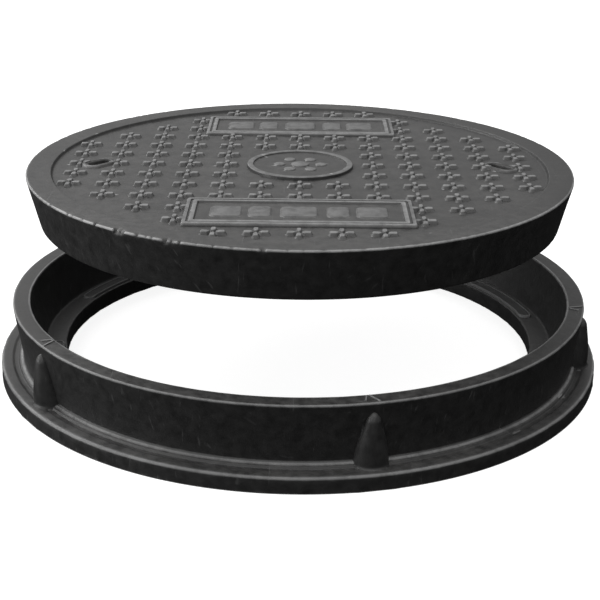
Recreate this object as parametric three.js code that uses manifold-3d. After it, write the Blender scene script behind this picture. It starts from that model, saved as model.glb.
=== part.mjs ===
// A round manhole cover of moulded composite, raised clear of its frame.
// Millimetres, +Z up. The origin is the centre of the frame's underside.
// Both mouldings hide welded steel, and the cover beds down on rubber pads.
import * as THREE from 'three';
import { mergeVertices } from 'three/addons/utils/BufferGeometryUtils.js';
import Module from 'manifold-3d';

const wasm = await Module();
wasm.setup();

// ---- Driving sizes ----
const CLEAR_OPENING = 600; // diameter of the way through the frame
const COVER_THICKNESS = 60;
const COVER_BEARING = 25; // how far the cover's underside overlaps the seat
const COVER_DRAFT = 15; // how much wider the cover's top is than its underside, in radius
const COVER_GAP = 3.5; // between the cover's edge and the frame's wall
const LIFT = 163; // how far the cover stands above its seated place

const SEAT_HEIGHT = 32; // from the underside to the ledge that the pads lie in
const LEDGE_THICKNESS = 22;
const RIM_WIDTH = 21.5; // the frame's top face
const FLANGE_THICKNESS = 20;
const FLANGE_REACH = 19; // how far the flange stands out past the rim
const WALL_SLOPE = 11; // how much the wall's outside leans in towards its foot
const FOOT_FILLET = 7; // the sloping bead where the wall meets the flange
const BASE_WIDTH = 54; // the flat ring that the frame stands on
const GUSSET_ANGLES = [-145, -77, -12, 64, 139]; // degrees from +X to each gusset
const GUSSET_RADIUS = 20;
const GUSSET_TIP_RADIUS = 5;
const GUSSET_DROP = 12; // from the rim's top down to a gusset's tip

const PAD_COUNT = 6;
const PAD_ANGLE = 25; // degrees from +X to the middle of the first pad
const PAD_SPAN = 28; // degrees
const PAD_WIDTH = 17;
const PAD_PROUD = 3; // how far a pad stands above the ledge
const PAD_DEPTH = 2; // how far its pocket goes down into the ledge

const BORDER_WIDTH = 31; // the plain band round the cover's top
const RECESS_DEPTH = 4; // from the border down to the floor of the tread
const CROSS_PITCH = 46;
const CROSS_SPAN = 28;
const CROSS_ARM = 8;
const PANEL_WIDTH = 258;
const PANEL_DEPTH = 96;
const PANEL_BORDER = 13;
const DISC_RADIUS = 66;
const DISC_RIM = 7; // width of the rim round the disc's plate
const DISC_RECESS = 2; // from the rim's top down to the plate

const SLOT_LENGTH = 32; // the way through a key slot
const SLOT_WIDTH = 12;
const SLOT_INSET = 88; // from the cover's edge to a slot's middle
const SLOT_TURN = 45; // degrees, mirrored on the other side
const SLEEVE_WALL = 4;
const BOSS_WALL = 4; // composite round the sleeve

const RIB_COUNT = 8; // radial ribs under the cover
const RIB_WIDTH = 14;
const POCKET_DEPTH = 14;
const HUB_RADIUS = 60;
const MIDDLE_RIB_RADIUS = 172;
const BEARING_RING = 35; // radial width of the solid ring under the cover's edge

const BAR_COUNT = 6; // bars each way
const BAR_DIAMETER = 8;
const CAGE_CORNER = 19; // from the hoop's inside to where the outermost bars cross
const STEEL_COVER = 6; // composite between the steel and the pockets
const HOOP_THICKNESS = 5;
const HOOP_INSET = 18; // from the cover's lower edge to its steel hoop
const RIM_HOOP_HEIGHT = 20;
const RIM_HOOP_DROP = 13; // from the rim's top down to the steel
const FLANGE_HOOP_WIDTH = 16;
const FRAME_STEEL = 4; // thickness of both hoops in the frame
const PIN_COUNT = 6; // locating pins of the mould that carry each hoop
const PIN_ANGLE = 11; // degrees from +X to the first pin
const PIN_DIAMETER = 6;

const CLEARANCE = 0.3; // between any two pieces that meet
const EDGE = 2; // chamfer on moulded edges
const SINK = 1; // how deep a raised feature reaches into what it stands on
const RING_STEPS = 72; // facets round every large circle
const DISC_STEPS = 36;
const FACET_REACH = Math.cos(Math.PI / RING_STEPS); // a facet's middle over its corners' radius

// ---- Radii and heights that follow ----
const openingRadius = CLEAR_OPENING / 2;
const coverBottomRadius = openingRadius + COVER_BEARING;
const coverTopRadius = coverBottomRadius + COVER_DRAFT;
const padTop = SEAT_HEIGHT + PAD_PROUD;
const frameHeight = padTop + CLEARANCE + COVER_THICKNESS;
const rimInnerRadius = coverTopRadius + COVER_GAP;
const rimOuterRadius = rimInnerRadius + RIM_WIDTH;
const flangeRadius = rimOuterRadius + FLANGE_REACH;
const footRadius = rimOuterRadius - WALL_SLOPE;
const ledgeRadius = rimInnerRadius - COVER_DRAFT * (frameHeight - SEAT_HEIGHT) / COVER_THICKNESS;
const coverBase = padTop + CLEARANCE + LIFT;

const recessRadius = coverTopRadius - BORDER_WIDTH;
const treadFloor = COVER_THICKNESS - RECESS_DEPTH;
const panelNear = 3 * CROSS_PITCH + CROSS_SPAN / 2 + EDGE;
const slotRadius = coverTopRadius - SLOT_INSET;
const sleeveLength = SLOT_LENGTH + 2 * SLEEVE_WALL;
const sleeveWidth = SLOT_WIDTH + 2 * SLEEVE_WALL;

const lowBarHeight = POCKET_DEPTH + STEEL_COVER + BAR_DIAMETER / 2;
const highBarHeight = lowBarHeight + BAR_DIAMETER + CLEARANCE;
const cageHoopOuter = coverBottomRadius - HOOP_INSET;
const cageHoopInner = cageHoopOuter - HOOP_THICKNESS;
const cageHoopLow = lowBarHeight - BAR_DIAMETER / 2 - CLEARANCE;
const cageHoopHigh = highBarHeight + BAR_DIAMETER / 2 + CLEARANCE;
const outerBar = (cageHoopInner - CAGE_CORNER) / Math.SQRT2;

const rimHoopHigh = frameHeight - RIM_HOOP_DROP;
const rimHoopLow = rimHoopHigh - RIM_HOOP_HEIGHT;
const rimHoopMiddle = (rimInnerRadius + footRadius) / 2 - FRAME_STEEL / 2;
const flangeHoopMiddle = (flangeRadius + footRadius) / 2 - FRAME_STEEL / 2;

// ---- Materials ----
const surface = (color, roughness, metalness) =>
  new THREE.MeshStandardMaterial({ color, roughness, metalness });
const COVER_COMPOSITE = surface(0x2e2f30, 0.55, 0.0);
const FRAME_COMPOSITE = surface(0x292a2b, 0.6, 0.0);
const STEEL = surface(0x6d6f72, 0.45, 0.9);
const SLEEVE_STEEL = surface(0x3a3b3d, 0.5, 0.8);
const RUBBER = surface(0x1b1b1c, 0.85, 0.0);

// ---- Solids ----
const radians = THREE.MathUtils.degToRad;

function solid(geometry) {
  geometry.deleteAttribute('normal');
  geometry.deleteAttribute('uv');
  const merged = mergeVertices(geometry, 1e-4);
  return new wasm.Manifold(new wasm.Mesh({
    numProp: 3,
    vertProperties: new Float32Array(merged.attributes.position.array),
    triVerts: new Uint32Array(merged.index.array),
  }));
}

function geometryOf(manifold) {
  const mesh = manifold.getMesh();
  const geometry = new THREE.BufferGeometry();
  geometry.setAttribute('position', new THREE.BufferAttribute(mesh.vertProperties, 3));
  geometry.setIndex(new THREE.BufferAttribute(mesh.triVerts, 1));
  return geometry;
}

// A solid of revolution about Z from [radius, height] points.
function turned(points, steps = RING_STEPS) {
  const outline = [...points, points[0]].map(([r, z]) => new THREE.Vector2(r, z));
  return solid(new THREE.LatheGeometry(outline, steps).rotateX(Math.PI / 2));
}

// A plain ring of rectangular section.
function ring(inner, outer, low, high) {
  return turned([[inner, low], [outer, low], [outer, high], [inner, high]]);
}

function prism(shape, low, high, turn = 0, x = 0, y = 0) {
  const geometry = new THREE.ExtrudeGeometry(shape, {
    depth: high - low,
    bevelEnabled: false,
    curveSegments: 6,
  });
  return solid(geometry.rotateZ(turn).translate(x, y, low));
}

function block(width, depth, low, high, turn = 0, x = 0, y = 0) {
  const box = new THREE.BoxGeometry(width, depth, high - low);
  return solid(box.translate(0, 0, (low + high) / 2).rotateZ(turn).translate(x, y, 0));
}

function stadium(length, width) {
  const straight = (length - width) / 2;
  const shape = new THREE.Shape();
  shape.absarc(straight, 0, width / 2, -Math.PI / 2, Math.PI / 2);
  shape.absarc(-straight, 0, width / 2, Math.PI / 2, 3 * Math.PI / 2);
  return shape;
}

function plus(span, arm) {
  const s = span / 2;
  const a = arm / 2;
  const corners = [[s, -a], [s, a], [a, a], [a, s], [-a, s], [-a, a],
    [-s, a], [-s, -a], [-a, -a], [-a, -s], [a, -s], [a, -a]];
  return new THREE.Shape(corners.map(([x, y]) => new THREE.Vector2(x, y)));
}

// A curved strip with round ends, centred on the +X side.
function arcStrip(middle, width, halfSpan) {
  const shape = new THREE.Shape();
  const cap = (angle, from) => shape.absarc(
    middle * Math.cos(angle), middle * Math.sin(angle), width / 2, from, from + Math.PI);
  shape.absarc(0, 0, middle + width / 2, -halfSpan, halfSpan);
  cap(halfSpan, halfSpan);
  shape.absarc(0, 0, middle - width / 2, halfSpan, -halfSpan, true);
  cap(-halfSpan, Math.PI - halfSpan);
  return shape;
}

// Calls make(angle) at even steps round the circle.
function around(count, firstDegrees, make) {
  return Array.from({ length: count }, (_, k) => make(radians(firstDegrees + 360 * k / count)));
}

const joined = (solids) => solids.reduce((whole, piece) => whole.add(piece));

// The mould's locating pins leave holes from the underside up to the steel.
function pinHoles(radius, top) {
  return joined(around(PIN_COUNT, PIN_ANGLE, (angle) => {
    const pin = new THREE.CylinderGeometry(PIN_DIAMETER / 2, PIN_DIAMETER / 2, top + SINK, 8);
    pin.rotateX(Math.PI / 2).translate(0, 0, (top - SINK) / 2);
    return solid(pin.translate(radius * Math.cos(angle), radius * Math.sin(angle), 0));
  }));
}

// ---- Frame ----
function rimHoop(gap) {
  const half = FRAME_STEEL / 2 + gap;
  return ring(rimHoopMiddle - half, rimHoopMiddle + half, rimHoopLow - gap, rimHoopHigh + gap);
}

function flangeHoop(gap) {
  const half = FLANGE_HOOP_WIDTH / 2 + gap;
  const low = (FLANGE_THICKNESS - FRAME_STEEL) / 2;
  return ring(flangeHoopMiddle - half, flangeHoopMiddle + half, low - gap, low + FRAME_STEEL + gap);
}

function seatPad(gap) {
  const middle = (openingRadius + coverBottomRadius) / 2;
  const strip = arcStrip(middle, PAD_WIDTH + 2 * gap, radians(PAD_SPAN / 2));
  return prism(strip, SEAT_HEIGHT - PAD_DEPTH + CLEARANCE - gap, padTop);
}

// A half-cone buttress that leans with the wall.
function gusset(angle) {
  const height = frameHeight - GUSSET_DROP - FLANGE_THICKNESS;
  const lean = Math.atan2(WALL_SLOPE, frameHeight - FLANGE_THICKNESS - FOOT_FILLET);
  const cone = new THREE.CylinderGeometry(GUSSET_TIP_RADIUS, GUSSET_RADIUS, height + SINK, 16);
  cone.rotateX(Math.PI / 2).translate(0, 0, height / 2).rotateY(lean);
  return solid(cone.translate(footRadius, 0, FLANGE_THICKNESS - SINK).rotateZ(angle));
}

function frameBody() {
  const wall = turned([
    [openingRadius, SEAT_HEIGHT - LEDGE_THICKNESS],
    [flangeRadius - BASE_WIDTH, SEAT_HEIGHT - LEDGE_THICKNESS],
    [flangeRadius - BASE_WIDTH, 0],
    [flangeRadius, 0],
    [flangeRadius, FLANGE_THICKNESS],
    [footRadius + FOOT_FILLET, FLANGE_THICKNESS],
    [footRadius, FLANGE_THICKNESS + FOOT_FILLET],
    [rimOuterRadius, frameHeight - EDGE],
    [rimOuterRadius - EDGE / 2, frameHeight],
    [rimInnerRadius, frameHeight],
    [ledgeRadius, SEAT_HEIGHT],
    [openingRadius, SEAT_HEIGHT],
  ]);
  const gussets = joined(GUSSET_ANGLES.map((angle) => gusset(radians(angle))));
  const pocketWall = turned([
    [0, SEAT_HEIGHT],
    [ledgeRadius, SEAT_HEIGHT],
    [rimInnerRadius, frameHeight],
    [0, frameHeight],
  ]);
  const pads = around(PAD_COUNT, PAD_ANGLE, (angle) =>
    seatPad(CLEARANCE).rotate([0, 0, THREE.MathUtils.radToDeg(angle)]));
  return wall
    .add(gussets.subtract(pocketWall))
    .subtract(joined(pads))
    .subtract(rimHoop(CLEARANCE))
    .subtract(flangeHoop(CLEARANCE))
    .subtract(pinHoles(rimHoopMiddle, rimHoopLow))
    .subtract(pinHoles(flangeHoopMiddle, FLANGE_THICKNESS / 2));
}

// ---- Cover, with its own underside at height 0 ----
function cageHoop(gap) {
  return ring(cageHoopInner - gap, cageHoopOuter + gap, cageHoopLow - gap, cageHoopHigh + gap);
}

// Offsets of the bars from the middle of the cover.
const barOffsets = Array.from({ length: BAR_COUNT },
  (_, k) => outerBar * (2 * k / (BAR_COUNT - 1) - 1));

// A bar along X, butting on the hoop's inside at both ends.
function cageBar(offset, gap) {
  const radius = BAR_DIAMETER / 2;
  const reach = Math.abs(offset) + radius;
  const inside = cageHoopInner * FACET_REACH - CLEARANCE;
  const half = Math.sqrt(inside ** 2 - reach ** 2);
  const bar = new THREE.CylinderGeometry(radius + gap, radius + gap, 2 * (half + 3 * gap), 8);
  return solid(bar.rotateZ(Math.PI / 2).translate(0, offset, lowBarHeight));
}

function keySlot(side, length, width, low, high) {
  return prism(stadium(length, width), low, high, -side * radians(SLOT_TURN), side * slotRadius, 0);
}

function keySleeve(side) {
  const low = POCKET_DEPTH - EDGE;
  return keySlot(side, sleeveLength, sleeveWidth, low, COVER_THICKNESS)
    .subtract(keySlot(side, SLOT_LENGTH, SLOT_WIDTH, low - SINK, COVER_THICKNESS + SINK));
}

// Crosses stand on a square grid, and leave room for the disc, the border and the two panels.
function treadCrosses() {
  const steps = Math.floor(recessRadius / CROSS_PITCH);
  const crosses = [];
  for (let i = -steps; i <= steps; i += 1) {
    for (let j = -steps; j <= steps; j += 1) {
      const x = i * CROSS_PITCH;
      const y = j * CROSS_PITCH;
      const fromCentre = Math.hypot(x, y);
      const onDisc = fromCentre < DISC_RADIUS + CROSS_SPAN / 2;
      const onBorder = fromCentre > recessRadius - CROSS_SPAN / 2;
      const onPanel = Math.abs(x) < PANEL_WIDTH / 2 && Math.abs(y) > panelNear
        && Math.abs(y) < panelNear + PANEL_DEPTH;
      if (!onDisc && !onBorder && !onPanel) {
        crosses.push(prism(plus(CROSS_SPAN, CROSS_ARM), treadFloor - SINK, COVER_THICKNESS, 0, x, y));
      }
    }
  }
  return joined(crosses);
}

function panelFrame(side) {
  const middle = side * (panelNear + PANEL_DEPTH / 2);
  const low = treadFloor - SINK;
  const inside = block(PANEL_WIDTH - 2 * PANEL_BORDER, PANEL_DEPTH - 2 * PANEL_BORDER,
    low - SINK, COVER_THICKNESS + SINK, 0, 0, middle);
  return block(PANEL_WIDTH, PANEL_DEPTH, low, COVER_THICKNESS, 0, 0, middle).subtract(inside);
}

function centreDisc() {
  const plateRadius = DISC_RADIUS - DISC_RIM;
  return turned([
    [0, treadFloor - SINK],
    [DISC_RADIUS, treadFloor - SINK],
    [DISC_RADIUS, COVER_THICKNESS],
    [plateRadius, COVER_THICKNESS],
    [plateRadius, COVER_THICKNESS - DISC_RECESS],
    [0, COVER_THICKNESS - DISC_RECESS],
  ], DISC_STEPS);
}

function undersidePockets() {
  const outer = coverBottomRadius - BEARING_RING;
  const halfRib = RIB_WIDTH / 2;
  const rings = ring(HUB_RADIUS, MIDDLE_RIB_RADIUS - halfRib, -SINK, POCKET_DEPTH)
    .add(ring(MIDDLE_RIB_RADIUS + halfRib, outer, -SINK, POCKET_DEPTH));
  const ribs = around(RIB_COUNT, 180 / RIB_COUNT, (angle) =>
    block(outer + RIB_WIDTH, RIB_WIDTH, -2 * SINK, POCKET_DEPTH + SINK, angle,
      outer * Math.cos(angle) / 2, outer * Math.sin(angle) / 2));
  return rings.subtract(joined(ribs));
}

function coverBody() {
  const plate = turned([
    [0, 0],
    [coverBottomRadius - EDGE, 0],
    [coverBottomRadius, EDGE],
    [coverTopRadius, COVER_THICKNESS - EDGE],
    [coverTopRadius - EDGE / 2, COVER_THICKNESS],
    [recessRadius, COVER_THICKNESS],
    [recessRadius - EDGE, treadFloor],
    [0, treadFloor],
  ]);
  const bosses = [-1, 1].map((side) => keySlot(side, sleeveLength + 2 * BOSS_WALL,
    sleeveWidth + 2 * BOSS_WALL, treadFloor - SINK, COVER_THICKNESS));
  const sleeveHoles = [-1, 1].map((side) => keySlot(side, sleeveLength + 2 * CLEARANCE,
    sleeveWidth + 2 * CLEARANCE, -SINK, COVER_THICKNESS + SINK));
  const alongX = joined(barOffsets.map((offset) => cageBar(offset, CLEARANCE)));
  const alongY = alongX.rotate([0, 0, 90]).translate([0, 0, highBarHeight - lowBarHeight]);
  return plate
    .add(treadCrosses())
    .add(panelFrame(-1))
    .add(panelFrame(1))
    .add(centreDisc())
    .add(joined(bosses))
    .subtract(undersidePockets())
    .subtract(joined(sleeveHoles))
    .subtract(cageHoop(CLEARANCE).add(alongX).add(alongY))
    .subtract(pinHoles((cageHoopInner + cageHoopOuter) / 2, cageHoopLow));
}

// ---- Assembly ----
function piece(name, manifold, material) {
  const mesh = new THREE.Mesh(geometryOf(manifold), material.clone());
  mesh.name = name;
  return mesh;
}

function frameGroup() {
  const group = new THREE.Group();
  group.add(piece('frame_body', frameBody(), FRAME_COMPOSITE));
  group.add(piece('rim_hoop', rimHoop(0), STEEL));
  group.add(piece('flange_hoop', flangeHoop(0), STEEL));
  around(PAD_COUNT, PAD_ANGLE, (angle) => angle).forEach((angle, k) => {
    const pad = piece(`seat_pad_${k + 1}`, seatPad(0), RUBBER);
    pad.rotation.z = angle;
    group.add(pad);
  });
  return group;
}

function coverGroup() {
  const group = new THREE.Group();
  group.add(piece('cover_body', coverBody(), COVER_COMPOSITE));
  group.add(piece('cage_hoop', cageHoop(0), STEEL));
  barOffsets.forEach((offset, k) => {
    group.add(piece(`cage_bar_x_${k + 1}`, cageBar(offset, 0), STEEL));
    const across = piece(`cage_bar_y_${k + 1}`, cageBar(offset, 0), STEEL);
    across.rotation.z = Math.PI / 2;
    across.position.z = highBarHeight - lowBarHeight;
    group.add(across);
  });
  group.add(piece('key_sleeve_left', keySleeve(-1), SLEEVE_STEEL));
  group.add(piece('key_sleeve_right', keySleeve(1), SLEEVE_STEEL));
  group.position.z = coverBase;
  return group;
}

const manholeCover = new THREE.Group();
manholeCover.add(frameGroup(), coverGroup());

export default manholeCover;
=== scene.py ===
# A round moulded manhole cover, raised clear of its flanged frame.
# Shapes are worked out in millimetres and made in metres, +Z up.
# The origin is the centre of the frame's underside.
import cmath
import math
import random

import bmesh
import bpy
from mathutils import Matrix, Vector, noise


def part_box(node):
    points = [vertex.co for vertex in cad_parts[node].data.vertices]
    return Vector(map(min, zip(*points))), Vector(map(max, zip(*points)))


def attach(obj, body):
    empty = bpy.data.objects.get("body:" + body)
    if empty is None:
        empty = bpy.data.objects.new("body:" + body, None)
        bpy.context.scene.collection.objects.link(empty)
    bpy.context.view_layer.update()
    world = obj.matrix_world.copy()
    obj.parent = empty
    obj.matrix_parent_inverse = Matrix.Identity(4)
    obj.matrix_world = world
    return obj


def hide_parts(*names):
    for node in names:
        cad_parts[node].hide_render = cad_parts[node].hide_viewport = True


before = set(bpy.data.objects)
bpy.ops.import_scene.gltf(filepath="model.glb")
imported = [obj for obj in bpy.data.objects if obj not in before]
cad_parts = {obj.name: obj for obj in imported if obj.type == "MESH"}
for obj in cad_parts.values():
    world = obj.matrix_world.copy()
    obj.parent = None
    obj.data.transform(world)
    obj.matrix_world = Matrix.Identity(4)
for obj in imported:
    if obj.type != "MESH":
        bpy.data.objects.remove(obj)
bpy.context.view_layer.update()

MM = 0.001
CLEARANCE = 0.3  # round every piece that is let into a moulding
random.seed(17)

# ---- Places taken from the frame ----
_, frame_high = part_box("frame_body")
cover_low, cover_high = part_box("cover_body")
pad_low, pad_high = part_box("seat_pad_1")
sleeve_low, sleeve_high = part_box("key_sleeve_right")

FLANGE_RADIUS = frame_high.x / MM
FRAME_HEIGHT = frame_high.z / MM
COVER_RADIUS = cover_high.x / MM
COVER_BASE = cover_low.z / MM
COVER_TOP = cover_high.z / MM
PAD_BASE = pad_low.z / MM
PAD_TOP = pad_high.z / MM
SLOT_PLACE = (sleeve_low.x + sleeve_high.x) / 2 / MM
SLEEVE_BASE = sleeve_low.z / MM

# ---- Frame sizes ----
OPENING_RADIUS = 300
SEAT_HEIGHT = 32
LEDGE_UNDERSIDE = 10
LEDGE_RADIUS = 327.7
RIM_INNER_RADIUS = 343.5
RIM_OUTER_RADIUS = 365
FOOT_RADIUS = 354
BASE_INNER_RADIUS = 330
FLANGE_THICKNESS = 20
BEAD = 5  # the height of the bead between the wall's foot and the flange
VALLEY_DEPTH = 1.3  # the groove between the bead and the flat of the flange
GUSSET_ANGLES = (-145, -77, -12, 64, 139)
GUSSET_ZONE = 4.2  # half the angle that a gusset takes up, with a little flat on both sides
GUSSET_RADIUS = 20
GUSSET_TIP_RADIUS = 5
GUSSET_TIP_DROP = 12
GUSSET_DOME = 9  # how far below its tip a gusset starts to round over
GUSSET_FLARE = 2.5
GUSSET_FLARE_HEIGHT = 4
FLASH_STROKES = (((-8.5, -1.5), (9, 7)), ((-8, -4), (4.5, -8.5)))  # outwards and round, from the rim's middle
FLASH_HALF_WIDTH = 1.5
FLASH_HEIGHT = 1.2
PAD_COUNT = 6
PAD_ANGLE = 25
PAD_HALF_SPAN = 14
PAD_RADIUS = 312.5
PAD_WIDTH = 17

# ---- Cover sizes, above the cover's own underside ----
COVER_THICKNESS = COVER_TOP - COVER_BASE
COVER_BOTTOM_RADIUS = 325
RECESS_RADIUS = 309
COVER_STEPS = 900
CHIPS_ANGLE = 242  # degrees from +X to the worst of the chips in the top edge
CHIPS_SPREAD = 24
TREAD_FLOOR = COVER_THICKNESS - 4
CROSS_PITCH = 46
CROSS_REACH = 14.5
LUG_START = 3.4
LUG_HALF_WIDTHS = (3.2, 2.2)  # of the arms along X and along Y
PANEL_WIDTH = 258
PANEL_DEPTH = 96
PANEL_NEAR = 154
PANEL_GROOVE = 4.6  # this and the next two are distances in from the panel's outside
PANEL_INNER_LIP = 7.2
PANEL_BORDER = 13
TABLET_PLACES = (-82, -44, 0, 44, 82)
TABLET_WIDTHS = (34, 24, 40, 24, 34)
TABLET_DEPTH = 38
DISC_RADIUS = 66
DISC_RIM = 7
MIDDLE_STUD_RADIUS = 11
STUD_RADIUS = 7
STUD_RING_RADIUS = 26
SLOT_LENGTH = 32
SLOT_WIDTH = 12
SLOT_TURN = 45
SLEEVE_WALL = 4
BOSS_WALL = 4
POCKET_DEPTH = 14
POCKET_CORNER = 6
RIB_WIDTH = 14
RIB_COUNT = 8
HUB_RADIUS = 60
MIDDLE_RIB_RADIUS = 172
OUTER_RIB_RADIUS = 290

# ---- Steel inside: the inner radius of each hoop ----
HOOP_INNER = {"rim_hoop": 344.75, "flange_hoop": 359, "cage_hoop": 302}
PIN_COUNT = 6
PIN_RADIUS = 3
PIN_ANGLE = 11


# ---- Finish of the meshes ----
SHARP_ANGLE = 32  # degrees between faces, from which an edge is shaded as a crease
SLIVER = 3e-5  # metres between points that a finished mesh joins


# ---- Outlines, as complex numbers ----
def rounded(corners, steps=4):
    """The closed outline through corners (x, y, radius), with an arc at each corner that has a radius."""
    points = []
    for k, (x, y, radius) in enumerate(corners):
        corner = complex(x, y)
        if not radius:
            points.append(corner)
            continue
        back = complex(*corners[k - 1][:2]) - corner
        on = complex(*corners[(k + 1) % len(corners)][:2]) - corner
        back /= abs(back)
        on /= abs(on)
        half = abs(cmath.phase(on / back)) / 2
        reach = radius / math.tan(half)
        centre = corner + (back + on) / abs(back + on) * radius / math.sin(half)
        start = corner + back * reach - centre
        turn = cmath.phase((corner + on * reach - centre) / start)
        points += [centre + start * cmath.exp(1j * turn * s / steps) for s in range(steps + 1)]
    return points


def dense(points, longest):
    """The same closed outline with no step longer than that."""
    result = []
    for here, there in zip(points, points[1:] + points[:1]):
        count = max(1, math.ceil(abs(there - here) / longest))
        result += [here + (there - here) * k / count for k in range(count)]
    return result


def rectangle(width, depth, radius, steps=4):
    x, y = width / 2, depth / 2
    return rounded([(-x, -y, radius), (x, -y, radius), (x, y, radius), (-x, y, radius)], steps)


def circle(radius, steps):
    return [radius * cmath.exp(2j * math.pi * k / steps) for k in range(steps)]


def stadium(length, width, steps=12):
    straight, radius = (length - width) / 2, width / 2
    right = [straight + radius * cmath.exp(1j * math.pi * (k / steps - 0.5)) for k in range(steps + 1)]
    return right + [-p for p in right]


def moved(points, place=0, degrees=0):
    turn = cmath.exp(1j * math.radians(degrees))
    return [p * turn + place for p in points]


def offset(points, distance):
    """A closed counterclockwise outline moved outwards."""
    result = []
    for k, here in enumerate(points):
        before = here - points[k - 1]
        after = points[(k + 1) % len(points)] - here
        before /= abs(before)
        after /= abs(after)
        along = before + after
        along /= abs(along)
        stretch = (before / along).real
        result.append(here - 1j * along * distance / max(stretch, 0.3))
    return result


# ---- Meshes ----
def made(name, points, faces):
    mesh = bpy.data.meshes.new(name)
    mesh.from_pydata([(x * MM, y * MM, z * MM) for x, y, z in points], [], faces)
    mesh.validate()
    obj = bpy.data.objects.new(name, mesh)
    bpy.context.scene.collection.objects.link(obj)
    return obj


def quads(rows, columns, rows_close=True):
    """Faces of a grid whose columns close on themselves."""
    last = rows if rows_close else rows - 1
    return [
        (r * columns + c, r * columns + (c + 1) % columns, (r + 1) % rows * columns + (c + 1) % columns,
         (r + 1) % rows * columns + c)
        for r in range(last) for c in range(columns)
    ]


def loft(name, outline, levels, closed=False):
    """A solid through copies of an outline at levels (height, offset), capped or closed into a tube."""
    points = [(p.real, p.imag, z) for z, grow in levels for p in offset(outline, grow)]
    count = len(outline)
    faces = quads(len(levels), count, closed)
    if not closed:
        faces.append(tuple(reversed(range(count))))
        faces.append(tuple(range((len(levels) - 1) * count, len(levels) * count)))
    return made(name, points, faces)


def revolve(name, outline, angles, place=None):
    """Turns a closed counterclockwise outline of (radius, height) about Z. place may move each point."""
    place = place or (lambda angle, r, z: (r * math.cos(angle), r * math.sin(angle), z))
    points = [place(angle, p.real, p.imag) for p in outline for angle in angles]
    obj = made(name, points, quads(len(outline), len(angles)))
    weld(obj)
    return obj


def weld(obj, distance=1e-6):
    mesh = bmesh.new()
    mesh.from_mesh(obj.data)
    bmesh.ops.remove_doubles(mesh, verts=mesh.verts, dist=distance)
    bmesh.ops.delete(mesh, geom=[edge for edge in mesh.edges if not edge.link_faces], context="EDGES")
    mesh.to_mesh(obj.data)
    mesh.free()


def together(objects):
    """One object that holds every mesh in the list. They mustn't overlap."""
    first, *others = objects
    mesh = bmesh.new()
    for obj in objects:
        mesh.from_mesh(obj.data)
    mesh.to_mesh(first.data)
    mesh.free()
    for obj in others:
        bpy.data.objects.remove(obj)
    return first


def combine(obj, tools, operation):
    """Fuses tools to obj, or cuts them out of it, and removes them."""
    tool = together(tools)
    modifier = obj.modifiers.new("combine", "BOOLEAN")
    modifier.operation = operation
    modifier.solver = "MANIFOLD"
    modifier.object = tool
    evaluated = obj.evaluated_get(bpy.context.evaluated_depsgraph_get())
    result = bpy.data.meshes.new_from_object(evaluated)
    obj.modifiers.clear()
    obj.data = result
    bpy.data.objects.remove(tool)


def fuse(obj, tools):
    combine(obj, tools, "UNION")


def cut(obj, tools):
    combine(obj, tools, "DIFFERENCE")


def finished(obj, material, body, node):
    """Shades a piece, gives it its material and body, and hides the CAD node that it stands for."""
    weld(obj, SLIVER)
    obj.data.shade_smooth()
    obj.data.set_sharp_from_angle(angle=math.radians(SHARP_ANGLE))
    obj.data.materials.clear()
    obj.data.materials.append(material)
    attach(obj, body)
    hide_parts(node)


def wander(angle, frequency, height=0.0, seed=0.0):
    """A smooth value from -1 to 1 that goes round the circle without a seam."""
    return noise.noise(Vector((math.cos(angle) * frequency, math.sin(angle) * frequency, height + seed)))


# ---- Frame ----
def gusset_columns():
    """Angles round the frame, and for the columns on a gusset also the angle round its cone."""
    columns = []
    for here, there in zip(GUSSET_ANGLES, GUSSET_ANGLES[1:] + (GUSSET_ANGLES[0] + 360,)):
        for s in range(-10, 11):
            columns.append((math.radians(here), s / 10 * math.pi / 2))
        plain = there - here - 2 * GUSSET_ZONE
        count = round(plain / 0.75)
        for s in range(count + 1):
            columns.append((math.radians(here + GUSSET_ZONE + plain * s / count), None))
    return columns


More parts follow.
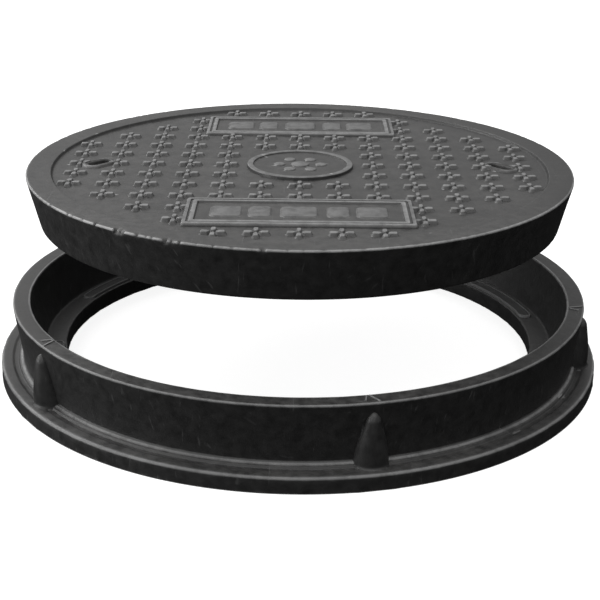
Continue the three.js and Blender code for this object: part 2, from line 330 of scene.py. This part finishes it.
def frame_place(column, r, z):
    """Where a point of the outline goes in a column: gussets stand out of the wall, and edges wander."""
    angle, round_cone = column
    lift = 0.0
    tip_height = FRAME_HEIGHT - GUSSET_TIP_DROP
    on_outside = r > FOOT_RADIUS - 1 and FLANGE_THICKNESS - VALLEY_DEPTH - 0.1 < z < tip_height
    across = 0.0
    if round_cone is not None:
        height = z - FLANGE_THICKNESS
        tip = tip_height - FLANGE_THICKNESS
        share = min(max(height / tip, 0), 1)
        cone = GUSSET_RADIUS + (GUSSET_TIP_RADIUS - GUSSET_RADIUS) * share ** 1.5
        lean = (RIM_OUTER_RADIUS - FOOT_RADIUS) * share * tip / (FRAME_HEIGHT - FLANGE_THICKNESS)
        dome = math.sqrt(max(0, 1 - max(0, 1 - (tip - height) / GUSSET_DOME) ** 2))
        narrow = max(dome, 0.15) if height < tip + 0.1 else 1
        across = cone * narrow * math.sin(round_cone)
        if on_outside:
            flare = GUSSET_FLARE * max(0, 1 - max(height, 0) / GUSSET_FLARE_HEIGHT) ** 2
            stands = FOOT_RADIUS + lean + (cone * dome + flare) * math.cos(round_cone)
            stands += 0.002 * (r - FOOT_RADIUS)  # keeps the points at the gusset's foot in order
            if stands > r:
                lift = max(0, FLANGE_THICKNESS - z)
                r = stands
    if z > 1:
        edge = wander(angle + across / r, 24, (z + lift) * 0.06)
        near_edge = min(max((r - FLANGE_RADIUS + 8) / 4, 0), 1)
        near_opening = min(max((OPENING_RADIUS + 8 - r) / 6, 0), 1)
        ragged = 0.9 * max(0, wander(angle + across / r, 60, z * 0.2, 5)) + 0.4 * (1 + edge)
        between = 0.25 * edge * (1 - near_edge) * (1 - near_opening)
        r += between + ragged * near_opening - 0.5 * (1 + edge) * near_edge
    x, y = r, across
    return (x * math.cos(angle) - y * math.sin(angle), x * math.sin(angle) + y * math.cos(angle), z + lift)


def frame_outline():
    wall_start = (FOOT_RADIUS + 0.7, FLANGE_THICKNESS + BEAD, 2)
    wall = []
    for below_rim in (24, 20, 17, 15, 13.5, 12.6, GUSSET_TIP_DROP, 10):
        height = FRAME_HEIGHT - below_rim
        share = (height - wall_start[1]) / (FRAME_HEIGHT - wall_start[1])
        wall.append((wall_start[0] + (RIM_OUTER_RADIUS - wall_start[0]) * share, height, 0))
    corners = [
        (OPENING_RADIUS, LEDGE_UNDERSIDE, 1.5),
        (BASE_INNER_RADIUS, LEDGE_UNDERSIDE, 1.5),
        (BASE_INNER_RADIUS, 0, 0.6),
        (FLANGE_RADIUS, 0, 1.0),
        (FLANGE_RADIUS, FLANGE_THICKNESS, 4),
        (FOOT_RADIUS + 16, FLANGE_THICKNESS, 2),
        (FOOT_RADIUS + 13, FLANGE_THICKNESS - VALLEY_DEPTH, 1.5),
        (FOOT_RADIUS + 8.5, FLANGE_THICKNESS - VALLEY_DEPTH, 1),
        (FOOT_RADIUS + 7, FLANGE_THICKNESS + 1.2, 1.0),
        (FOOT_RADIUS + 3.5, FLANGE_THICKNESS + 2.2, 1.8),
        wall_start,
        *wall,
        (RIM_OUTER_RADIUS, FRAME_HEIGHT, 1.8),
        (RIM_INNER_RADIUS, FRAME_HEIGHT, 1.3),
        (LEDGE_RADIUS, SEAT_HEIGHT, 2.5),
        (OPENING_RADIUS, SEAT_HEIGHT, 1.6),
    ]
    return dense(rounded(corners), 4)


def pad_outline():
    """A curved strip with round ends, centred on the +X side."""
    half = math.radians(PAD_HALF_SPAN)
    steps = 22
    outer, inner = PAD_RADIUS + PAD_WIDTH / 2, PAD_RADIUS - PAD_WIDTH / 2
    sweep = [half * (2 * k / steps - 1) for k in range(steps + 1)]
    cap = [cmath.exp(1j * math.pi * k / 10) for k in range(1, 10)]
    far = [cmath.exp(1j * half) * (PAD_RADIUS + PAD_WIDTH / 2 * p) for p in cap]
    near = [cmath.exp(-1j * half) * (PAD_RADIUS - PAD_WIDTH / 2 * p) for p in cap]
    return ([outer * cmath.exp(1j * a) for a in sweep] + far
            + [inner * cmath.exp(1j * a) for a in reversed(sweep)] + near)


def pad_angles():
    return [PAD_ANGLE + 360 * k / PAD_COUNT for k in range(PAD_COUNT)]


def hoop_space(node):
    """The space round a steel hoop of the CAD model, as a cutter."""
    low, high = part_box(node)
    outer = high.x / MM + CLEARANCE
    inner = HOOP_INNER[node] - CLEARANCE
    bottom, top = low.z / MM - CLEARANCE, high.z / MM + CLEARANCE
    outline = [complex(inner, bottom), complex(outer, bottom), complex(outer, top), complex(inner, top)]
    return revolve(node + "_space", outline, [2 * math.pi * k / 144 for k in range(144)])


def pin_holes(node, bottom):
    """Cutters for the holes that the mould's locating pins leave under a hoop."""
    low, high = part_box(node)
    middle = (high.x / MM + HOOP_INNER[node]) / 2
    levels = [(bottom - 1, 0), ((low.z + high.z) / 2 / MM, 0)]
    places = [cmath.rect(middle, math.radians(PIN_ANGLE + 360 * k / PIN_COUNT)) for k in range(PIN_COUNT)]
    return [loft(f"pin_{node}_{k}", moved(circle(PIN_RADIUS, 16), p), levels) for k, p in enumerate(places)]


def flash_marks():
    """Thin forked ridges that the mould leaves on the rim above each gusset."""
    centre = (RIM_INNER_RADIUS + RIM_OUTER_RADIUS) / 2
    levels = [(FRAME_HEIGHT - 1, 0), (FRAME_HEIGHT + FLASH_HEIGHT, -0.7)]
    marks = []
    for turn in GUSSET_ANGLES:
        for start, end in FLASH_STROKES:
            a, b = complex(*start), complex(*end)
            across = 1j * (b - a) / abs(b - a) * FLASH_HALF_WIDTH
            bar = [a - across, b - across, b + across, a + across]
            outline = moved([p + centre for p in bar], 0, turn)
            marks.append(loft(f"flash_{len(marks)}", outline, levels))
    return marks


def frame_moulding(material):
    obj = revolve("frame_moulding", frame_outline(), gusset_columns(), frame_place)
    pocket = [
        (PAD_BASE - CLEARANCE, CLEARANCE), (SEAT_HEIGHT - 0.8, CLEARANCE),
        (SEAT_HEIGHT, 1.0), (SEAT_HEIGHT + 3, 1.0),
    ]
    cut(obj, [loft("pocket", moved(pad_outline(), 0, a), pocket) for a in pad_angles()])
    marks = flash_marks()
    fuse(obj, marks[::2])
    fuse(obj, marks[1::2])
    for node in ("rim_hoop", "flange_hoop"):
        cut(obj, [hoop_space(node)])
        cut(obj, pin_holes(node, 0))
    finished(obj, material, "frame", "frame_body")


def seat_pads(material):
    """Each pad has a raised lip round a sunk middle."""
    levels = [
        (PAD_BASE, -0.5), (PAD_BASE + 0.4, 0), (PAD_TOP - 0.8, 0), (PAD_TOP - 0.2, -0.3),
        (PAD_TOP, -0.8), (PAD_TOP, -1.8), (PAD_TOP - 0.3, -2.4), (PAD_TOP - 1.0, -2.9),
    ]
    for k, angle in enumerate(pad_angles()):
        pad = loft(f"pad_{k + 1}", moved(pad_outline(), 0, angle), levels)
        finished(pad, material, "frame", f"seat_pad_{k + 1}")


# ---- Cover ----
def cover_place(angle, r, z):
    """The side wanders a little, and the top edge is chipped here and there, most at the front left."""
    height = z - COVER_BASE
    if r > COVER_BOTTOM_RADIUS - 3:
        r -= 0.2 * (1 + wander(angle, 18, height * 0.04, 3))
    if height > COVER_THICKNESS - 6 and r > COVER_RADIUS - 8:
        rough = max(0, wander(angle, 42, 0, 9) + 0.45 * wander(angle, 110, 0, 2) - 0.12)
        front_left = math.exp(-((math.degrees(angle) - CHIPS_ANGLE) / CHIPS_SPREAD) ** 2)
        chip = rough * (1.2 + 11 * front_left)
        nearness = max(0, 1 - (COVER_RADIUS - r) / 8) * max(0, 1 - (COVER_THICKNESS - height) / 6)
        z -= 0.7 * chip * nearness
        r -= 0.8 * chip * nearness
    return (r * math.cos(angle), r * math.sin(angle), z)


def cover_outline():
    corners = [
        (0, 0, 0),
        (COVER_BOTTOM_RADIUS, 0, 2),
        (COVER_RADIUS, COVER_THICKNESS, 2),
        (RECESS_RADIUS, COVER_THICKNESS, 1.2),
        (RECESS_RADIUS - 2, TREAD_FLOOR, 1.5),
        (0, TREAD_FLOOR, 0),
    ]
    outline = rounded(corners)
    fine = []
    for here, there in zip(outline, outline[1:] + outline[:1]):
        on_edge = here.real > RECESS_RADIUS - 3
        step = 2.5 if on_edge else 60
        count = max(1, math.ceil(abs(there - here) / step))
        fine += [here + (there - here) * k / count for k in range(count)]
    return [p + 1j * COVER_BASE for p in fine]


def local(levels):
    """Levels given above the cover's underside, in the row frame."""
    return [(z + COVER_BASE, grow) for z, grow in levels]


def panel_outlines(shrink):
    middle = 1j * (PANEL_NEAR + PANEL_DEPTH / 2)
    shape = rectangle(PANEL_WIDTH - 2 * shrink, PANEL_DEPTH - 2 * shrink, max(4 - shrink * 0.2, 1.5))
    return [moved(shape, middle), moved(shape, -middle)]


def cross_places():
    steps = int(RECESS_RADIUS // CROSS_PITCH)
    for i in range(-steps, steps + 1):
        for j in range(-steps, steps + 1):
            place = complex(i, j) * CROSS_PITCH
            on_disc = abs(place) < DISC_RADIUS + CROSS_REACH
            on_border = abs(place) > RECESS_RADIUS - CROSS_REACH
            on_panel = (abs(place.real) < PANEL_WIDTH / 2
                        and PANEL_NEAR < abs(place.imag) < PANEL_NEAR + PANEL_DEPTH)
            if not (on_disc or on_border or on_panel):
                yield place


def lug(name, place, quarter):
    """One arm of a cross: a ridge with sloping flanks and a pointed inner end."""
    length = CROSS_REACH - 1.6 + random.uniform(-0.5, 0.4)
    half = LUG_HALF_WIDTHS[quarter % 2] + random.uniform(-0.2, 0.3)
    corners = [
        (LUG_START, 0, 0.4), (LUG_START + half, -half, 0.8), (length, -half, 1.4),
        (length, half, 1.4), (LUG_START + half, half, 0.8),
    ]
    shape = rounded(corners, 3)
    top = COVER_THICKNESS - random.uniform(0.0, 0.35)
    levels = [
        (TREAD_FLOOR - 1, 2.6), (TREAD_FLOOR + 0.1, 2.4), (TREAD_FLOOR + 0.5, 2.0),
        (top - 0.7, 0.4), (top - 0.2, 0), (top, -0.3),
    ]
    return loft(name, moved(shape, place, 90 * quarter + random.uniform(-1.5, 1.5)), local(levels))


def add_tread(obj):
    places = list(cross_places())
    for quarter in range(4):
        fuse(obj, [lug(f"lug_{quarter}_{k}", place, quarter) for k, place in enumerate(places)])


def add_panels(obj):
    top = COVER_THICKNESS

    def blocks(shrink, levels):
        return [loft("panel", shape, local(levels)) for shape in panel_outlines(shrink)]

    plate = top - 2.2
    outer_lip = [(TREAD_FLOOR - 1, 1.4), (TREAD_FLOOR + 0.5, 0.9), (top - 0.8, -0.3), (top - 0.1, -1.2)]
    groove = [(top - 1.5, -0.6), (top + 1, 0.5)]
    inner_lip = [(top - 3, 0.7), (top - 0.8, 0), (top - 0.1, -0.8)]
    sunk = [(plate, -1.0), (plate + 0.6, -0.2), (top - 0.5, 0.3), (top + 1, 1.2)]
    fuse(obj, blocks(0, outer_lip))
    cut(obj, blocks(PANEL_GROOVE, groove))
    fuse(obj, blocks(PANEL_INNER_LIP, inner_lip))
    cut(obj, blocks(PANEL_BORDER, sunk))
    tablet = [
        (plate - 1, 1.6), (plate + 0.1, 1.4), (plate + 0.6, 0.5), (plate + 1.3, -0.4), (plate + 1.6, -1.4),
    ]
    tablets = []
    for side in (-1, 1):
        middle = side * 1j * (PANEL_NEAR + PANEL_DEPTH / 2)
        for place, width in zip(TABLET_PLACES, TABLET_WIDTHS):
            shape = moved(rectangle(width, TABLET_DEPTH, 6), middle + place)
            tablets.append(loft(f"tablet_{side}_{place}", shape, local(tablet)))
    fuse(obj, tablets)


def add_disc(obj):
    top = COVER_THICKNESS
    plate = DISC_RADIUS - DISC_RIM
    corners = [
        (0, TREAD_FLOOR - 1, 0),
        (DISC_RADIUS + 1, TREAD_FLOOR - 1, 0),
        (DISC_RADIUS + 0.6, TREAD_FLOOR + 0.5, 0),
        (DISC_RADIUS, top - 0.05, 1.0),
        (plate, top - 0.05, 0.8),
        (plate - 0.8, top - 2, 0.5),
        (0, top - 2, 0),
    ]
    outline = [p + 1j * COVER_BASE for p in dense(rounded(corners), 3)]
    fuse(obj, [revolve("disc", outline, [2 * math.pi * k / 240 for k in range(240)])])
    levels = local([(top - 3, 0.8), (top - 1.8, 0.5), (top - 0.9, -0.2), (top - 0.5, -1.2)])
    studs = [loft("stud_0", circle(MIDDLE_STUD_RADIUS, 28), levels)]
    for k in range(6):
        place = cmath.rect(STUD_RING_RADIUS, math.radians(60 * k))
        studs.append(loft(f"stud_{k + 1}", moved(circle(STUD_RADIUS, 28), place), levels))
    fuse(obj, studs)


def slot_outlines(length, width):
    return [moved(stadium(length, width), side * SLOT_PLACE, -side * SLOT_TURN) for side in (-1, 1)]


def add_key_slots(obj):
    top = COVER_THICKNESS
    length, width = SLOT_LENGTH + 2 * SLEEVE_WALL, SLOT_WIDTH + 2 * SLEEVE_WALL
    bosses = slot_outlines(length + 2 * BOSS_WALL, width + 2 * BOSS_WALL)
    levels = [
        (TREAD_FLOOR - 1, 2.0), (TREAD_FLOOR + 0.2, 1.7), (TREAD_FLOOR + 0.8, 0.9),
        (top - 1.8, 0), (top - 1.3, -1.0),
    ]
    fuse(obj, [loft("boss", shape, local(levels)) for shape in bosses])
    hole = [(-1, CLEARANCE), (top + 1, CLEARANCE)]
    cut(obj, [loft("hole", shape, local(hole)) for shape in slot_outlines(length, width)])


def pocket_outline(inner, outer):
    """A sector between two ribs, with rounded corners, centred on the +X side."""
    half_rib = RIB_WIDTH / 2
    half_turn = math.pi / RIB_COUNT
    corner = POCKET_CORNER

    def edge(radius, side):
        return radius * cmath.exp(1j * side * (half_turn - math.asin(half_rib / radius)))

    def arc(radius, start, end):
        a, b = cmath.phase(edge(radius, start)), cmath.phase(edge(radius, end))
        trim = math.copysign(corner / radius, b - a)
        return [cmath.rect(radius, a + trim + (b - a - 2 * trim) * k / 14) for k in range(15)]

    def bend(radius, side, way):
        """The rounded corner of the sector at this radius, as a quadratic curve."""
        tip = edge(radius, side)
        along_rib = edge(radius + way * corner, side)
        angle = cmath.phase(tip) - side * corner / radius
        on_arc = cmath.rect(radius, angle)
        shares = (0, 0.25, 0.5, 0.75)
        return [(1 - t) ** 2 * along_rib + 2 * t * (1 - t) * tip + t * t * on_arc for t in shares]

    return (bend(outer, -1, -1) + arc(outer, -1, 1) + bend(outer, 1, -1)[::-1]
            + bend(inner, 1, 1) + arc(inner, 1, -1) + bend(inner, -1, 1)[::-1])


def cut_underside(obj):
    half_rib = RIB_WIDTH / 2
    rings = [(HUB_RADIUS, MIDDLE_RIB_RADIUS - half_rib), (MIDDLE_RIB_RADIUS + half_rib, OUTER_RIB_RADIUS)]
    levels = [
        (-1, 0.8), (0, 0.4), (0.8, -0.2),
        (POCKET_DEPTH - 2, -1.0), (POCKET_DEPTH - 0.6, -1.8), (POCKET_DEPTH, -3.2),
    ]
    pockets = []
    for inner, outer in rings:
        for k in range(RIB_COUNT):
            shape = moved(pocket_outline(inner, outer), 0, 360 * k / RIB_COUNT)
            pockets.append(loft(f"pocket_{inner}_{k}", shape, local(levels)))
    cut(obj, pockets)


def bar_space(node):
    """The space round a cage bar of the CAD model, as a cutter."""
    low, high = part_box(node)
    size = (high - low) / MM
    middle = (high + low) / 2 / MM
    lengthwise = max(size.x, size.y)
    half = lengthwise / 2 + 3 * CLEARANCE
    radius = size.z / 2 + CLEARANCE
    obj = loft(node + "_space", circle(radius / math.cos(math.pi / 8), 8), [(-half, 0), (half, 0)])
    turn = Matrix.Rotation(math.pi / 2, 4, "Y" if size.x > size.y else "X")
    obj.data.transform(Matrix.Translation(middle * MM) @ turn @ Matrix.Rotation(math.pi / 8, 4, "Z"))
    return obj


def cover_moulding(material):
    angles = [2 * math.pi * k / COVER_STEPS for k in range(COVER_STEPS)]
    obj = revolve("cover_moulding", cover_outline(), angles, cover_place)
    add_tread(obj)
    add_panels(obj)
    add_disc(obj)
    add_key_slots(obj)
    cut_underside(obj)
    cut(obj, [hoop_space("cage_hoop")])
    for way in ("x", "y"):
        cut(obj, [bar_space(f"cage_bar_{way}_{k}") for k in range(1, 7)])
    cut(obj, pin_holes("cage_hoop", COVER_BASE))
    finished(obj, material, "cover", "cover_body")


def key_sleeves(material):
    """A tube in each key slot, with worn, rounded lips."""
    top = COVER_TOP
    bottom = SLEEVE_BASE
    wall = SLEEVE_WALL
    loop = [
        (bottom + 0.5, 0), (bottom, 0.5), (bottom, wall - 0.5), (bottom + 0.5, wall), (top - 1.8, wall),
        (top - 1.4, wall - 0.4), (top - 1.3, wall - 1.0), (top - 1.6, 1.3), (top - 2.2, 0.5), (top - 3.2, 0),
    ]
    for side, shape in zip(("left", "right"), slot_outlines(SLOT_LENGTH, SLOT_WIDTH)):
        sleeve = loft(f"sleeve_{side}", shape, loop, closed=True)
        finished(sleeve, material, "cover", f"key_sleeve_{side}")


# ---- Materials ----
class Shader:
    """A Principled material with short calls for the nodes that feed it."""

    def __init__(self, name):
        self.material = bpy.data.materials.new(name)
        self.material.use_nodes = True
        self.nodes = self.material.node_tree.nodes
        self.links = self.material.node_tree.links
        self.surface = self.nodes["Principled BSDF"]
        self.place = self.nodes.new("ShaderNodeTexCoord").outputs["Object"]
        self.geometry = self.nodes.new("ShaderNodeNewGeometry").outputs

    def wire(self, value, socket):
        if isinstance(value, (int, float, tuple)):
            socket.default_value = value
        else:
            self.links.new(value, socket)

    def stretched(self, scale, turn=0.0):
        node = self.nodes.new("ShaderNodeMapping")
        node.inputs["Scale"].default_value = scale
        node.inputs["Rotation"].default_value = (0, 0, turn)
        self.links.new(self.place, node.inputs["Vector"])
        return node.outputs["Vector"]

    def noise(self, scale, detail=4.0, roughness=0.55, vector=None):
        node = self.nodes.new("ShaderNodeTexNoise")
        node.inputs["Scale"].default_value = scale
        node.inputs["Detail"].default_value = detail
        node.inputs["Roughness"].default_value = roughness
        self.links.new(vector or self.place, node.inputs["Vector"])
        return node.outputs["Fac"]

    def cells(self, scale):
        node = self.nodes.new("ShaderNodeTexVoronoi")
        node.inputs["Scale"].default_value = scale
        self.links.new(self.place, node.inputs["Vector"])
        return node.outputs["Distance"]

    def ramp(self, value, low, high, start=0.0, end=1.0):
        """value from low to high becomes start to end, held beyond both."""
        node = self.nodes.new("ShaderNodeMapRange")
        node.clamp = True
        self.links.new(value, node.inputs["Value"])
        for name, number in (("From Min", low), ("From Max", high), ("To Min", start), ("To Max", end)):
            node.inputs[name].default_value = number
        return node.outputs["Result"]

    def math(self, operation, a, b=0.0):
        node = self.nodes.new("ShaderNodeMath")
        node.operation = operation
        self.wire(a, node.inputs[0])
        self.wire(b, node.inputs[1])
        return node.outputs[0]

    def mix(self, share, a, b):
        node = self.nodes.new("ShaderNodeMix")
        node.data_type = "RGBA"
        self.wire(share, node.inputs[0])
        self.wire(a, node.inputs[6])
        self.wire(b, node.inputs[7])
        return node.outputs[2]

    def bump(self, height, distance, strength=1.0, under=None):
        node = self.nodes.new("ShaderNodeBump")
        node.inputs["Strength"].default_value = strength
        node.inputs["Distance"].default_value = distance
        self.links.new(height, node.inputs["Height"])
        if under:
            self.links.new(under, node.inputs["Normal"])
        return node.outputs["Normal"]

    def axis(self, vector, letter):
        node = self.nodes.new("ShaderNodeSeparateXYZ")
        self.links.new(vector, node.inputs[0])
        return node.outputs[letter]

    def from_axis(self):
        """How far a point is from the Z axis."""
        x, y = self.axis(self.place, "X"), self.axis(self.place, "Y")
        return self.math("SQRT", self.math("ADD", self.math("MULTIPLY", x, x), self.math("MULTIPLY", y, y)))

    def finish(self, color, roughness, normal, metallic=0.0, specular=0.5):
        self.wire(color, self.surface.inputs["Base Color"])
        self.wire(roughness, self.surface.inputs["Roughness"])
        self.wire(normal, self.surface.inputs["Normal"])
        self.surface.inputs["Metallic"].default_value = metallic
        self.surface.inputs["Specular IOR Level"].default_value = specular
        return self.material


def grey(level, warmth=0.0):
    return (level * (1 + warmth), level, level * (1 - warmth), 1.0)


def composite(name, body, dust_and_sheen_tone, wear_and_highlight, highlight_lips, tread=None):
    """Black moulded resin: fine grain, dust and painted sheen on what faces up, fine scratches, and edges
    lighter from wear and painted highlight.

    The edge list gives the radius and height of each round edge that gets a painted highlight all the way
    round, broken up by noise. tread is the height and radius of the raised pattern, whose tops are rubbed
    lightest."""
    s = Shader(name)
    blotches = s.noise(7, 5)
    mottle = s.noise(85, 6, 0.6)
    grain = s.noise(900, 3)
    scratch_a = s.ramp(s.noise(1, 3, 0.5, s.stretched((14, 420, 40), 0.5)), 0.66, 0.74)
    scratch_b = s.ramp(s.noise(1, 3, 0.5, s.stretched((330, 11, 40), 0.2)), 0.68, 0.75)
    scratches = s.math("MAXIMUM", scratch_a, scratch_b)
    # Sharp edges lighter: partly wear, partly a painted highlight along the edges.
    edges = s.ramp(s.geometry["Pointiness"], 0.515, 0.60)
    edges = s.math("MULTIPLY", edges, s.ramp(mottle, 0.30, 0.60, 0.35, 1.0))
    # Upward faces lighter: partly settled dust, partly a painted sheen for the bright reflection that the
    # tops catch.
    facing_up = s.ramp(s.axis(s.geometry["Normal"], "Z"), 0.25, 0.85, 0.12, 1.0)
    dust_and_sheen_mask = s.math("MULTIPLY", s.ramp(blotches, 0.30, 0.70, 0.45, 1.0), s.ramp(mottle, 0.35, 0.68, 0.35, 1.0))
    # Less dust and painted sheen on upward faces towards the left and right sides, so those parts are painted
    # darker.
    off_centre = s.math("ABSOLUTE", s.math("ADD", s.axis(s.place, "X"), 0.03))
    dust_and_sheen_mask = s.math("MULTIPLY", dust_and_sheen_mask, facing_up)
    dust_and_sheen_mask = s.math("MULTIPLY", dust_and_sheen_mask, s.ramp(off_centre, 0.22, 0.36, 1.0, 0.40))
    color = s.mix(s.ramp(mottle, 0.3, 0.7), grey(body * 0.7), grey(body * 1.3))
    color = s.mix(dust_and_sheen_mask, color, grey(dust_and_sheen_tone, 0.02))
    color = s.mix(s.math("MULTIPLY", scratches, 0.35), color, grey(dust_and_sheen_tone * 1.4))
    if tread:
        top, radius = tread
        lifted = s.ramp(s.axis(s.place, "Z"), top - 0.0010, top - 0.0003)
        inside = s.ramp(s.from_axis(), radius, radius - 0.002)
        tops = s.math("MULTIPLY", s.math("MULTIPLY", lifted, inside), s.ramp(mottle, 0.35, 0.62, 0.45, 1.0))
        color = s.mix(tops, color, grey(dust_and_sheen_tone * 1.9))
    color = s.mix(edges, color, grey(wear_and_highlight))
    # Painted highlight along each listed round edge, broken up by noise so it reads as rubbed.
    for radius, height in highlight_lips:
        across = s.math("SUBTRACT", s.from_axis(), radius)
        up = s.math("SUBTRACT", s.axis(s.place, "Z"), height)
        away = s.math("SQRT", s.math("ADD", s.math("MULTIPLY", across, across), s.math("MULTIPLY", up, up)))
        lip_highlight = s.math("MULTIPLY", s.ramp(away, 0.0024, 0.0010), s.ramp(blotches, 0.30, 0.62, 0.35, 1.0))
        color = s.mix(s.math("MULTIPLY", lip_highlight, s.ramp(mottle, 0.30, 0.55, 0.5, 1.0)), color, grey(wear_and_highlight))
    rough = s.ramp(mottle, 0.25, 0.75, 0.40, 0.60)
    rough = s.math("ADD", rough, s.math("MULTIPLY", dust_and_sheen_mask, 0.10))
    coarse = s.bump(mottle, 0.0007, 0.6)
    fine = s.bump(grain, 0.00025, 0.5, coarse)
    scored = s.bump(s.math("MULTIPLY", scratches, -1.0), 0.0002, 0.5, fine)
    return s.finish(color, rough, scored, specular=0.42)


def rubber(name):
    s = Shader(name)
    mottle = s.noise(120, 5)
    grain = s.noise(1500, 2)
    # Edges lighter: partly wear, partly a painted highlight for the pads' bright outlines.
    edges = s.ramp(s.geometry["Pointiness"], 0.51, 0.60)
    color = s.mix(s.ramp(mottle, 0.3, 0.7), grey(0.02), grey(0.06))
    color = s.mix(edges, color, grey(0.30))
    rough = s.ramp(mottle, 0.3, 0.7, 0.62, 0.85)
    return s.finish(color, rough, s.bump(grain, 0.0002, 0.6, s.bump(mottle, 0.0005, 0.5)))


def coated_steel(name):
    s = Shader(name)
    mottle = s.noise(140, 6)
    edges = s.math("MULTIPLY", s.ramp(s.geometry["Pointiness"], 0.51, 0.58), s.ramp(mottle, 0.3, 0.6))
    color = s.mix(s.ramp(mottle, 0.35, 0.65), grey(0.006), grey(0.02))
    color = s.mix(s.math("MULTIPLY", edges, 0.4), color, grey(0.12, 0.04))
    rough = s.ramp(mottle, 0.3, 0.7, 0.38, 0.6)
    return s.finish(color, rough, s.bump(s.noise(700, 3), 0.0002, 0.5), metallic=0.2)


def rolled_steel(name):
    """Hot-rolled bar: blue-grey scale with brown rust blooms and small pits."""
    s = Shader(name)
    scale = s.noise(60, 6)
    rust = s.ramp(s.noise(25, 7, 0.65), 0.50, 0.66)
    pits = s.cells(900)
    color = s.mix(s.ramp(scale, 0.3, 0.7), grey(0.16), grey(0.34))
    color = s.mix(s.math("MULTIPLY", rust, 0.7), color, (0.20, 0.075, 0.03, 1.0))
    rough = s.math("ADD", s.ramp(scale, 0.3, 0.7, 0.30, 0.5), s.math("MULTIPLY", rust, 0.3))
    return s.finish(color, rough, s.bump(pits, 0.0002, 0.4, s.bump(scale, 0.0004, 0.5)), metallic=0.85)


# ---- Scene ----
def sky():
    """A bright dome over a dark ground, a little brighter on the left."""
    world = bpy.data.worlds.new("studio")
    bpy.context.scene.world = world
    world.use_nodes = True
    nodes, links = world.node_tree.nodes, world.node_tree.links
    place = nodes.new("ShaderNodeTexCoord")
    split = nodes.new("ShaderNodeSeparateXYZ")
    links.new(place.outputs["Generated"], split.inputs[0])
    both = nodes.new("ShaderNodeMath")
    both.operation = "MULTIPLY"
    for socket, axis, limits in ((0, "Z", (0.0, 0.55, 0.03, 1.05)), (1, "X", (-1.0, 1.0, 1.32, 0.58))):
        ramp = nodes.new("ShaderNodeMapRange")
        ramp.interpolation_type = "SMOOTHSTEP"
        links.new(split.outputs[axis], ramp.inputs["Value"])
        for name, number in zip(("From Min", "From Max", "To Min", "To Max"), limits):
            ramp.inputs[name].default_value = number
        links.new(ramp.outputs["Result"], both.inputs[socket])
    links.new(both.outputs[0], nodes["Background"].inputs["Strength"])
    nodes["Background"].inputs["Color"].default_value = (1, 1, 1, 1)


def soft_light(name, place, target, size, power):
    light = bpy.data.lights.new(name, "AREA")
    light.shape = "RECTANGLE"
    light.size, light.size_y = size
    light.energy = power
    obj = bpy.data.objects.new(name, light)
    obj.location = place
    obj.rotation_euler = (Vector(target) - Vector(place)).to_track_quat("-Z", "Y").to_euler()
    bpy.context.scene.collection.objects.link(obj)


def floor():
    """A large pale sheet that only the camera and its own shadows see."""
    half, height = 20000, -0.2
    corners = [(x * half, y * half, height) for x, y in ((-1, -1), (1, -1), (1, 1), (-1, 1))]
    obj = made("floor", corners, [(0, 1, 2, 3)])
    s = Shader("pale_floor")
    tone = s.mix(s.ramp(s.noise(3, 3), 0.3, 0.7), grey(0.33), grey(0.36))
    s.surface.inputs["Emission Color"].default_value = (1, 1, 1, 1)
    s.surface.inputs["Emission Strength"].default_value = 0.90
    obj.data.materials.append(s.finish(tone, 0.9, s.bump(s.noise(200, 2), 0.0001, 0.2), specular=0.1))
    obj.visible_glossy = False
    obj.visible_diffuse = False


def camera():
    data = bpy.data.cameras.new("camera")
    obj = bpy.data.objects.new("camera", data)
    bpy.context.scene.collection.objects.link(obj)
    bpy.context.scene.camera = obj
    tilt, roll, distance = math.radians(21.04), math.radians(0.63), 1.750
    target = Vector((0.0018, 0, 0.0737))
    forward = Vector((0, math.cos(tilt), -math.sin(tilt)))
    obj.location = target - forward * distance
    turn = Matrix.Rotation(math.pi / 2 - tilt, 4, "X") @ Matrix.Rotation(roll, 4, "Z")
    obj.rotation_euler = turn.to_euler()
    data.lens = 80.3
    data.sensor_width = 36
    data.clip_end = 60


# Round edges that get a painted highlight: the cover's top edge, the rim's inner and outer edges, the
# flange's edge and the bead at the wall's foot.
cover_highlight_lips = [(COVER_RADIUS * MM - 0.0006, COVER_TOP * MM - 0.0006)]
cover_tread = (COVER_TOP * MM, RECESS_RADIUS * MM)
frame_highlight_lips = [
    (RIM_INNER_RADIUS * MM + 0.0004, FRAME_HEIGHT * MM - 0.0004),
    (RIM_OUTER_RADIUS * MM - 0.0005, FRAME_HEIGHT * MM - 0.0005),
    (FLANGE_RADIUS * MM - 0.0012, FLANGE_THICKNESS * MM - 0.0012),
    (FOOT_RADIUS * MM + 0.0035, FLANGE_THICKNESS * MM + 0.0022),
]
# The third and fourth numbers are the tones of the dust and painted sheen on upward faces, and of worn edges
# and painted highlights.
composite_cover = composite("cover_composite", 0.014, 0.068, 0.30, cover_highlight_lips, cover_tread)
flash_top = (FRAME_HEIGHT * MM + 0.0016, RIM_OUTER_RADIUS * MM)
composite_frame = composite("frame_composite", 0.013, 0.072, 0.19, frame_highlight_lips, flash_top)
rolled = rolled_steel("rolled_steel")

frame_moulding(composite_frame)
seat_pads(rubber("pad_rubber"))
cover_moulding(composite_cover)
key_sleeves(coated_steel("sleeve_steel"))
for name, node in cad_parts.items():
    if not node.hide_render:
        node.data.materials.clear()
        node.data.materials.append(rolled)

sky()
soft_light("key", (-1.9, 1.3, 2.0), (0, 0, 0.1), (1.1, 1.1), 36)
soft_light("front", (0.3, -1.7, 2.9), (0, 0, 0.1), (1.5, 1.5), 24)
soft_light("left", (-2.6, -0.6, 0.6), (0, 0, 0.1), (1.6, 0.8), 30)
floor()
camera()
bpy.context.scene.view_settings.view_transform = "Standard"
